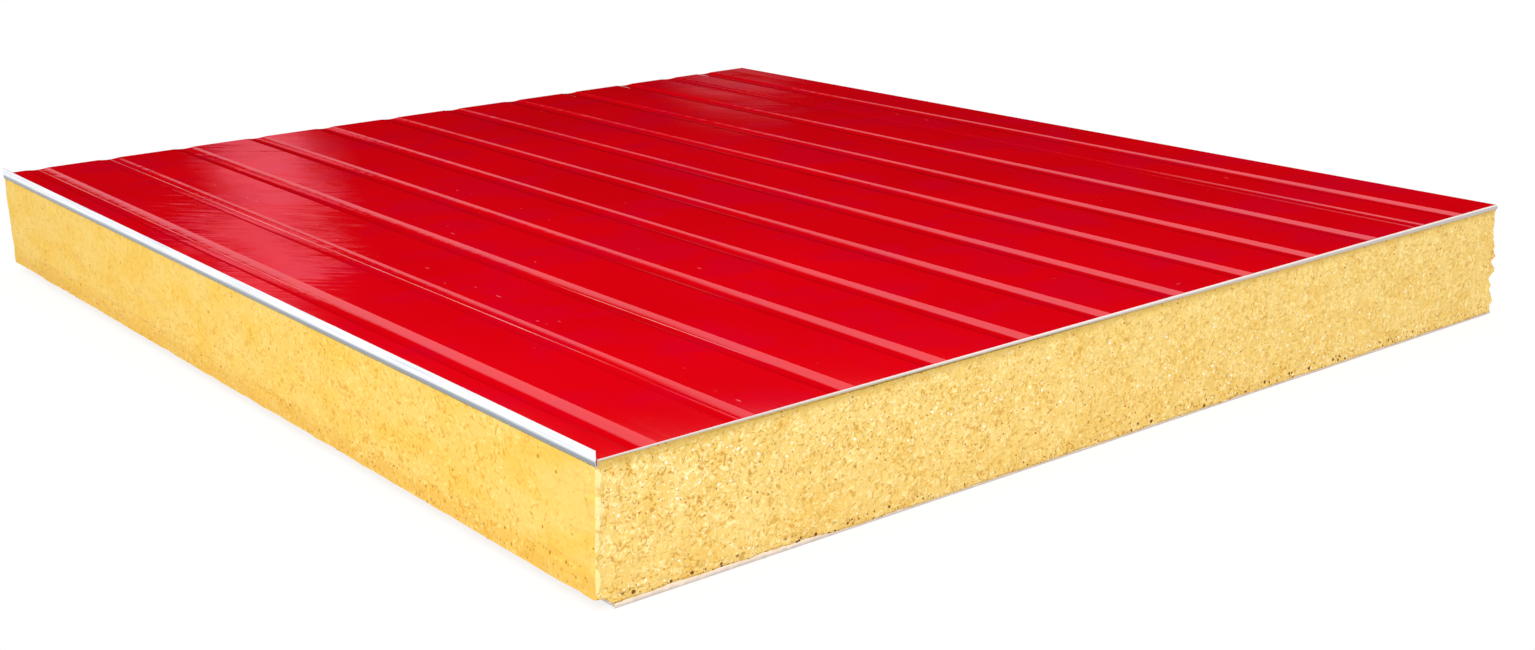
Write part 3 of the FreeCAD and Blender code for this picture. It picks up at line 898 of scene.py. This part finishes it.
def sawn_foam():
    """Sawn polyurethane foam: torn cells give a crumbly matt surface, with dark open pits and
    thin cell walls that catch the light."""
    material = new_material("sawn_polyurethane_foam")
    tree = material.node_tree
    in_mm, across, _, up = in_millimetres(tree, CORE_CORNER)

    patches = add_node(
        tree,
        "TexNoise",
        {"Scale": 1 / SAWN_PATCH, "Detail": 3.0, "Roughness": 0.6},
        {"Vector": in_mm},
    )
    crumbs = add_node(
        tree,
        "TexNoise",
        {"Scale": 1 / SAWN_CELL, "Detail": 1.3, "Roughness": 0.5, "Distortion": 1.7},
        {"Vector": in_mm},
    )
    base = add_node(
        tree,
        "ValToRGB",
        {},
        {"Fac": patches.outputs[0]},
        [(0.36, linear(SAWN_DEEP)), (0.62, linear(SAWN_PALE))],
    )
    # The saw tore the foam most near the hem and high up, and again along the foot.
    torn_side = add_node(
        tree, "MapRange", {"From Min": 460.0, "From Max": 40.0, "To Min": 0.12}, {"Value": across}
    )
    torn_height = add_node(
        tree, "MapRange", {"From Min": -75.0, "From Max": -20.0, "To Min": 0.35}, {"Value": up}
    )
    torn_high = add_node(tree, "Math", {"operation": "MULTIPLY"}, {0: torn_side, 1: torn_height})
    torn_foot = add_node(
        tree,
        "MapRange",
        {"From Min": -CORE_DEPTH + 26.0, "From Max": -CORE_DEPTH + 6.0, "To Max": 0.5},
        {"Value": up},
    )
    torn_parts = add_node(tree, "Math", {"operation": "MAXIMUM"}, {0: torn_high, 1: torn_foot})
    torn = add_node(
        tree,
        "Math",
        {"operation": "MULTIPLY_ADD", 1: 0.32, 2: 0.48, "use_clamp": True},
        {0: torn_parts},
    )
    # Painted shade in the crumbs' hollows and a painted highlight on their crests, from the noise
    # that also shapes their bump.
    hollow_shape = add_node(
        tree, "MapRange", {"From Min": 0.41, "From Max": 0.35}, {"Value": crumbs.outputs[0]}
    )
    hollow = add_node(tree, "Math", {"operation": "MULTIPLY"}, {0: hollow_shape, 1: torn})
    crest_shape = add_node(
        tree, "MapRange", {"From Min": 0.57, "From Max": 0.63}, {"Value": crumbs.outputs[0]}
    )
    crest = add_node(tree, "Math", {"operation": "MULTIPLY"}, {0: crest_shape, 1: torn})

    pits = spots(tree, in_mm, SAWN_PIT_GAP, 0.0, 1.1, (31.0, 17.0, 9.0))
    sparks = spots(tree, in_mm, SAWN_SPARK_GAP, -0.8, 1.3, (3.0, 57.0, 29.0))
    tears = spots(tree, in_mm, SAWN_TEAR_GAP, -2.4, 3.0, (77.0, 5.0, 41.0))
    tear = add_node(tree, "Math", {"operation": "MULTIPLY"}, {0: tears, 1: torn_parts})
    scorches = spots(tree, in_mm, SCORCH_GAP, -0.3, 1.8, (11.0, 23.0, 3.0))
    foot_band = add_node(
        tree,
        "MapRange",
        {"From Min": SCORCH_FOOT[0] - CORE_DEPTH, "From Max": SCORCH_FOOT[1] - CORE_DEPTH},
        {"Value": up},
    )
    head_band = add_node(
        tree, "MapRange", {"From Min": -3.4, "From Max": -2.2, "To Max": 0.4}, {"Value": up}
    )
    scorch_band = add_node(tree, "Math", {"operation": "MAXIMUM"}, {0: foot_band, 1: head_band})
    scorch = add_node(tree, "Math", {"operation": "MULTIPLY"}, {0: scorches, 1: scorch_band})
    band = add_node(
        tree,
        "MapRange",
        {
            "From Min": -SHADE_BAND * 1.5,
            "From Max": -SHADE_BAND * 0.3,
            "To Max": 0.8,
            "interpolation_type": "SMOOTHSTEP",
        },
        {"Value": up},
    )
    ridge_waves = add_node(
        tree, "TexNoise", {"Scale": 1 / RIDGE_WAVE, "Detail": 2.0}, {"Vector": in_mm}
    )
    ridge_edge = add_node(
        tree,
        "Math",
        {"operation": "MULTIPLY_ADD", 1: RIDGE_WANDER},
        {0: ridge_waves.outputs[0], 2: across},
    )
    ridge = add_node(
        tree,
        "MapRange",
        {"From Min": RIDGE_EDGE[0], "From Max": RIDGE_EDGE[1], "To Max": 0.8},
        {"Value": ridge_edge},
    )
    # The hollows and tears take the painted shade, the crests the painted highlight.
    layers = (
        (hollow, SAWN_HOLLOW_SHADE),
        (crest, SAWN_CREST_HIGHLIGHT),
        (band, SAWN_SHADE),
        (tear, SAWN_HOLLOW_SHADE),
        (sparks, SAWN_SPARK),
        (pits, SAWN_PIT),
        (scorch, SAWN_SCORCH),
        (ridge, RIDGE_CREAM),
    )
    crumb_part = add_node(tree, "Math", {"operation": "MULTIPLY_ADD", 1: 1.6, 2: 0.9}, {0: torn})
    crumb_height = add_node(
        tree, "Math", {"operation": "MULTIPLY"}, {0: crumbs.outputs[0], 1: crumb_part}
    )
    with_tears = add_node(
        tree, "Math", {"operation": "MULTIPLY_ADD", 1: -1.0}, {0: tear, 2: crumb_height}
    )
    height = add_node(
        tree, "Math", {"operation": "MULTIPLY_ADD", 1: -0.04}, {0: pits, 2: with_tears}
    )
    relief = add_node(tree, "Bump", {"Strength": 1.0, "Distance": 0.0004}, {"Height": height})
    shader = add_node(
        tree,
        "BsdfPrincipled",
        {"Roughness": 0.9, "IOR": 1.3},
        {"Base Color": layered(tree, base, layers), "Normal": relief},
    )
    add_node(tree, "OutputMaterial", {}, {"Surface": shader})
    return material


SKIN_WARM = "EEC250"
SKIN_PALE = "EFCB6A"
SKIN_AMBER = "DEA22C"
SKIN_CREAM = "FFE594"
SKIN_PIT = "C4862C"
SKIN_FOOT = "E3B248"
SKIN_CLOUD = 22.0  # mm across a paler cloud
SKIN_GRAIN = 6.5  # mm
SKIN_BLOTCH = 11.0  # mm between amber blotches
BLISTER_GAP = 6.5  # mm between burst blisters
LOW_BLISTER_GAP = 4.0  # mm, under the foot band
MARK_GAP = 4.5  # mm between the pits of a level mark
FOOT_BAND = 77.0  # mm under the sheet, where the lower board of the mould began
LEVEL_MARKS = (  # lines of pits at the mould's joints: mm under the sheet, half height, strength
    (53.0, 1.0, 0.6),
    (74.5, 1.6, 1.0),
    (86.0, 1.0, 0.7),
)


def moulded_foam_skin():
    """Skin of polyurethane foam that set against the side mould: closed and nearly smooth, with
    amber blotches, small burst blisters and the level marks of the mould."""
    material = new_material("moulded_foam_skin")
    tree = material.node_tree
    in_mm, _, along, up = in_millimetres(tree, CORE_CORNER)
    drawn_out = add_node(tree, "Mapping", {"Scale": (1.0, 0.35, 1.0)}, {"Vector": in_mm})
    clouds = add_node(
        tree,
        "TexNoise",
        {"Scale": 1 / SKIN_CLOUD, "Detail": 4.0, "Roughness": 0.6},
        {"Vector": drawn_out},
    )
    grain = add_node(
        tree,
        "TexNoise",
        {"Scale": 1 / SKIN_GRAIN, "Detail": 1.5, "Roughness": 0.5, "Distortion": 1.8},
        {"Vector": in_mm},
    )
    base = add_node(
        tree,
        "ValToRGB",
        {},
        {"Fac": clouds.outputs[0]},
        [(0.38, linear(SKIN_WARM)), (0.60, linear(SKIN_PALE))],
    )
    # The skin is rougher toward the sawn end, though not in the last stretch before it.
    rougher = add_node(
        tree,
        "MapRange",
        {"From Min": 750.0, "From Max": 260.0, "To Min": 0.4, "To Max": 0.8},
        {"Value": along},
    )
    smooth_end = add_node(
        tree, "MapRange", {"From Min": 40.0, "From Max": 110.0, "To Min": 0.35}, {"Value": along}
    )
    rough_part = add_node(tree, "Math", {"operation": "MULTIPLY"}, {0: rougher, 1: smooth_end})
    hollow_shape = add_node(
        tree, "MapRange", {"From Min": 0.42, "From Max": 0.36}, {"Value": grain.outputs[0]}
    )
    hollow = add_node(tree, "Math", {"operation": "MULTIPLY"}, {0: hollow_shape, 1: rough_part})
    crest_shape = add_node(
        tree,
        "MapRange",
        {"From Min": 0.60, "From Max": 0.68, "To Max": 0.7},
        {"Value": grain.outputs[0]},
    )
    crest = add_node(tree, "Math", {"operation": "MULTIPLY"}, {0: crest_shape, 1: rough_part})
    blotch_places = add_node(
        tree,
        "TexNoise",
        {"Scale": 1 / SKIN_BLOTCH, "Detail": 3.0, "Distortion": 0.6},
        {"Vector": drawn_out},
    )
    blotch = add_node(
        tree,
        "MapRange",
        {"From Min": 0.60, "From Max": 0.74, "To Max": 0.45},
        {"Value": blotch_places.outputs[0]},
    )
    foot_edge = add_node(
        tree, "Math", {"operation": "MULTIPLY_ADD", 1: 5.0}, {0: clouds.outputs[0], 2: up}
    )
    foot = add_node(
        tree,
        "MapRange",
        {
            "From Min": 9.0 - FOOT_BAND,
            "From Max": -4.0 - FOOT_BAND,
            "To Max": 0.6,
            "interpolation_type": "SMOOTHSTEP",
        },
        {"Value": foot_edge},
    )
    blisters = spots(tree, in_mm, BLISTER_GAP, -1.2, 1.5, (13.0, 7.0, 21.0))
    low_blisters = spots(tree, in_mm, LOW_BLISTER_GAP, -0.5, 1.3, (43.0, 11.0, 5.0))
    low_part = add_node(tree, "Math", {"operation": "MULTIPLY", 1: 1.8}, {0: foot})
    foot_blisters = add_node(
        tree, "Math", {"operation": "MULTIPLY", "use_clamp": True}, {0: low_blisters, 1: low_part}
    )
    mark_spots = spots(tree, in_mm, MARK_GAP, -0.4, 2.1, (1.0, 37.0, 2.0))
    marks = foot_blisters
    for level, reach, strength in LEVEL_MARKS:
        mark_band = add_node(
            tree, "Math", {"operation": "COMPARE", 1: -level, 2: reach}, {0: foot_edge}
        )
        dotted = add_node(tree, "Math", {"operation": "MULTIPLY"}, {0: mark_spots, 1: mark_band})
        faded = add_node(tree, "Math", {"operation": "MULTIPLY", 1: strength}, {0: dotted})
        marks = add_node(tree, "Math", {"operation": "MAXIMUM"}, {0: marks, 1: faded})
    layers = (
        (foot, SKIN_FOOT),
        (hollow, SKIN_AMBER),
        (crest, SKIN_CREAM),
        (blotch, SKIN_AMBER),
        (blisters, SKIN_PIT),
        (marks, SKIN_PIT),
    )
    with_blisters = add_node(
        tree, "Math", {"operation": "MULTIPLY_ADD", 1: -0.15}, {0: blisters, 2: grain.outputs[0]}
    )
    height = add_node(
        tree, "Math", {"operation": "MULTIPLY_ADD", 1: -0.15}, {0: marks, 2: with_blisters}
    )
    relief = add_node(tree, "Bump", {"Strength": 1.0, "Distance": 0.0006}, {"Height": height})
    shader = add_node(
        tree,
        "BsdfPrincipled",
        {"Roughness": 0.75, "IOR": 1.35},
        {"Base Color": layered(tree, base, layers), "Normal": relief},
    )
    add_node(tree, "OutputMaterial", {}, {"Surface": shader})
    return material


foam.material_slots[0].material = sawn_foam()
foam.material_slots[1].material = moulded_foam_skin()

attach(foam, "root")
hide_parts("foam_core")


# ---------------------------------------------------------------------------------------------
# Studio: a wide white floor, a soft sky that is dark at the horizon and bright overhead, with two
# low windows, a wide soft lamp behind the camera and a small one over the near corner.
# ---------------------------------------------------------------------------------------------
FLOOR_RADIUS = 66.0  # m
LIT_MARGIN = 0.02  # m round the panel where the floor shows only the lamps' light and shadow
PAPER_GLOW = 0.8  # share of plain white in the paper round the panel
WHITE_MARGIN = 0.26  # m round the panel, past which the floor is plain white to the eye
SKY_CREST = 32.5  # degrees clockwise from +Y, where the sky's lower edge is highest
SKY_STOPS = (  # sine of the elevation with the edge's drop added, and colour
    (0.0, (0.002, 0.002, 0.002, 1.0)),
    (0.345, (0.002, 0.002, 0.002, 1.0)),
    (0.360, (0.30, 0.29, 0.33, 1.0)),
    (0.385, (0.54, 0.52, 0.58, 1.0)),
    (0.46, (0.62, 0.60, 0.66, 1.0)),
    (0.66, (0.92, 0.92, 0.93, 1.0)),
    (1.0, (1.10, 1.10, 1.10, 1.0)),
)
WINDOWS = (  # bearings in degrees clockwise from +Y, sines of the elevation, and colour
    ((26.35, 28.85), (0.172, 0.262), (0.74, 0.225, 0.30, 1.0)),
    ((40.6, 43.4), (0.158, 0.171), (0.16, 0.12, 0.14, 1.0)),
)
LAMPS = {  # place in m, size in m, watts, and the point that it is turned to
    "wide_lamp": ((-3.1, -3.3, 3.4), 2.4, 140.0, (0.0, 0.0, 0.05)),
    "near_lamp": ((-0.85, -0.45, 1.5), 0.6, 3.4, (-0.3, 0.0, 0.1)),
}

bpy.ops.object.select_all(action="DESELECT")
bpy.ops.mesh.primitive_circle_add(
    vertices=128, radius=FLOOR_RADIUS, fill_type="NGON", location=(0, 0, -0.0003)
)
floor = bpy.context.object
floor.name = "floor"
bpy.ops.object.transform_apply(location=True, rotation=False, scale=False)


def studio_paper():
    """White background paper: matt, and plain white where it runs out of the lamps' light."""
    material = new_material("studio_paper")
    tree = material.node_tree
    place = add_node(tree, "TexCoord").outputs["Object"]
    half_size = (cad_high - cad_low) / 2
    outward = add_node(tree, "VectorMath", {"operation": "ABSOLUTE"}, {0: place})
    beyond = add_node(
        tree,
        "VectorMath",
        {"operation": "SUBTRACT", 1: (half_size.x, half_size.y, 0)},
        {0: outward},
    )
    beyond_edge = add_node(
        tree, "VectorMath", {"operation": "MAXIMUM", 1: (0, 0, 0)}, {0: beyond}
    )
    reach = add_node(tree, "VectorMath", {"operation": "LENGTH"}, {0: beyond_edge})
    far = add_node(
        tree,
        "MapRange",
        {
            "From Min": LIT_MARGIN,
            "From Max": WHITE_MARGIN,
            "To Min": PAPER_GLOW,
            "interpolation_type": "SMOOTHSTEP",
        },
        {"Value": reach.outputs["Value"]},
    )
    path = add_node(tree, "LightPath")
    seen = add_node(
        tree,
        "Math",
        {"operation": "MAXIMUM"},
        {0: path.outputs["Is Camera Ray"], 1: path.outputs["Is Glossy Ray"]},
    )
    seen_through = add_node(
        tree, "Math", {"operation": "MAXIMUM"}, {0: seen, 1: path.outputs["Is Transmission Ray"]}
    )
    share = add_node(tree, "Math", {"operation": "MULTIPLY"}, {0: far, 1: seen_through})
    paper = add_node(tree, "BsdfDiffuse", {"Color": (0.95, 0.95, 0.95, 1.0)})
    plain = add_node(tree, "Emission", {"Color": (1.0, 1.0, 1.0, 1.0), "Strength": 1.0})
    shader = add_node(tree, "MixShader", {}, {0: share, 1: paper, 2: plain})
    add_node(tree, "OutputMaterial", {}, {"Surface": shader})
    return material


floor.data.materials.append(studio_paper())

world = bpy.data.worlds.new("studio_sky")
bpy.context.scene.world = world
world.use_nodes = True
world.node_tree.nodes.clear()
sky = world.node_tree
direction = add_node(sky, "TexCoord").outputs["Generated"]
sky_axes = add_node(sky, "SeparateXYZ", {}, {0: direction})
bearing = add_node(
    sky, "Math", {"operation": "ARCTAN2"}, {0: sky_axes.outputs[0], 1: sky_axes.outputs[1]}
)
# The sky's lower edge is highest over the near corner's bearing and falls away to both sides.
drop_left = add_node(
    sky,
    "MapRange",
    {"From Min": math.radians(SKY_CREST), "From Max": math.radians(15.0), "To Max": 0.120},
    {"Value": bearing},
)
drop_right = add_node(
    sky,
    "MapRange",
    {"From Min": math.radians(SKY_CREST), "From Max": math.radians(62.0), "To Max": 0.075},
    {"Value": bearing},
)
edge_drop = add_node(sky, "Math", {"operation": "ADD"}, {0: drop_left, 1: drop_right})
sky_height = add_node(sky, "Math", {"operation": "ADD"}, {0: sky_axes.outputs[2], 1: edge_drop})
sky_light = add_node(sky, "ValToRGB", {}, {"Fac": sky_height}, SKY_STOPS)
# The soft streaks that break up the sides of a window, level in what the sheet mirrors.
streak_height = add_node(
    sky, "Math", {"operation": "MULTIPLY", 1: 60.0}, {0: sky_axes.outputs[2]}
)
window_streaks = add_node(
    sky,
    "TexNoise",
    {"noise_dimensions": "1D", "Scale": 1.0, "Detail": 5.0, "Roughness": 0.8},
    {"W": streak_height},
)
streaked_bearing = add_node(
    sky,
    "Math",
    {"operation": "MULTIPLY_ADD", 1: math.radians(9.0)},
    {0: window_streaks.outputs[0], 2: bearing},
)
sky_total = sky_light.outputs[0]
for (first, last), (foot, head), colour in WINDOWS:
    rules = (
        (streaked_bearing, math.radians(first - 0.3), math.radians(first + 0.3)),
        (streaked_bearing, math.radians(last + 0.3), math.radians(last - 0.3)),
        (sky_axes.outputs[2], foot - 0.006, foot + 0.006),
        (sky_axes.outputs[2], head + 0.012, head - 0.008),
    )
    inside = None
    for source, outer, inner in rules:
        rise = add_node(
            sky,
            "MapRange",
            {"From Min": outer, "From Max": inner, "interpolation_type": "SMOOTHSTEP"},
            {"Value": source},
        )
        if inside:
            rise = add_node(sky, "Math", {"operation": "MULTIPLY"}, {0: inside, 1: rise})
        inside = rise
    with_window = add_node(
        sky, "Mix", {"data_type": "RGBA", 7: colour}, {0: inside, 6: sky_total}
    )
    sky_total = with_window.outputs[2]
background = add_node(sky, "Background", {"Strength": 1.0}, {"Color": sky_total})
add_node(sky, "OutputWorld", {}, {"Surface": background})

for name, (place, size, watts, target) in LAMPS.items():
    bpy.ops.object.light_add(type="AREA", location=place)
    lamp = bpy.context.object
    lamp.name = name
    lamp.data.shape = "DISK"
    lamp.data.size = size
    lamp.data.energy = watts
    aim = Vector(target) - Vector(place)
    lamp.rotation_euler = aim.to_track_quat("-Z", "Y").to_euler()

bpy.context.scene.view_settings.view_transform = "Standard"
